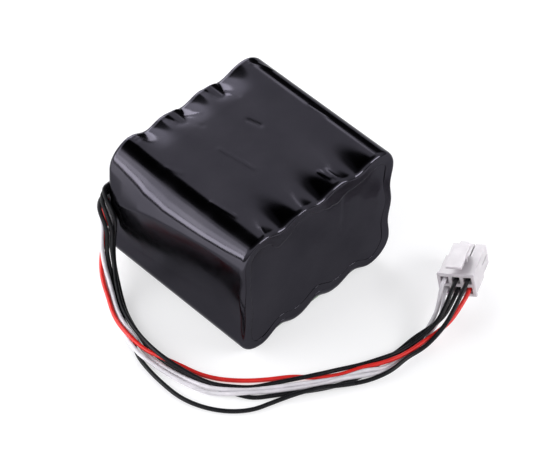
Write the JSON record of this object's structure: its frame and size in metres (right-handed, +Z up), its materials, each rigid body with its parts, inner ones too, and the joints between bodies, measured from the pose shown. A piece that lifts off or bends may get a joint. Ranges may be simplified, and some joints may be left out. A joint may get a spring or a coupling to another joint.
{
  "type": "battery pack",
  "caption": "Flat block of round lithium-ion cells in black shrink film, with a loose bundle of insulated leads to a white latching plug.",
  "frame": {"origin": "centre of the bottom face of the film-wrapped block, without the leads and plug", "axes": "+X across the four cell columns, the long side; +Y along the cells towards the end where the leads come out; +Z up"},
  "size_m": [0.1216, 0.113, 0.0559],
  "materials": {
    "black_film": "gloss",
    "cell_jacket": "satin",
    "nickel_sheet": "satin",
    "insulating_paper": "matte",
    "circuit_board": "satin",
    "chip_black": "matte",
    "ceramic": "satin",
    "thermistor_epoxy": "satin",
    "red_pvc": "satin",
    "black_pvc": "satin",
    "white_pvc": "satin",
    "natural_nylon": "satin",
    "tinned_brass": "satin"
  },
  "bodies": {
    "pack": {"capacitor_1": "ceramic", "capacitor_2": "ceramic", "cell_11": "cell_jacket", "cell_12": "cell_jacket", "cell_13": "cell_jacket", "cell_21": "cell_jacket", "cell_22": "cell_jacket", "cell_23": "cell_jacket", "cell_31": "cell_jacket", "cell_32": "cell_jacket", "cell_33": "cell_jacket", "cell_41": "cell_jacket", "cell_42": "cell_jacket", "cell_43": "cell_jacket", "far_end_cover": "black_film", "insulating_board_far": "insulating_paper", "insulating_board_near": "insulating_paper", "lead_black_1": "black_pvc", "lead_black_2": "black_pvc", "lead_black_3": "black_pvc", "lead_red": "red_pvc", "lead_white_1": "white_pvc", "lead_white_2": "white_pvc", "mosfet_1": "chip_black", "mosfet_2": "chip_black", "mosfet_3": "chip_black", "mosfet_4": "chip_black", "near_end_cover": "black_film", "plate_middle": "nickel_sheet", "plate_minus": "nickel_sheet", "plate_near_1": "nickel_sheet", "plate_near_2": "nickel_sheet", "plate_plus": "nickel_sheet", "plug_housing": "natural_nylon", "protection_board": "circuit_board", "protection_chip": "chip_black", "sense_wire_1": "black_pvc", "sense_wire_2": "black_pvc", "shrink_sleeve": "black_film", "shunt_resistor": "chip_black", "terminal_1": "tinned_brass", "terminal_2": "tinned_brass", "terminal_3": "tinned_brass", "terminal_4": "tinned_brass", "terminal_5": "tinned_brass", "terminal_6": "tinned_brass", "thermistor": "thermistor_epoxy"},
    "latch": {"plug_latch": "natural_nylon"}
  },
  "joints": [
    {"name": "latch_hinge", "type": "hinge", "parent": "pack", "child": "latch", "pos_m": [0.04313, -0.06342, 0.01286], "axis": [0.4713, -0.849, 0.2389], "range_deg": [0, 7], "stiffness_Nm_per_rad": 0.2}
  ]
}
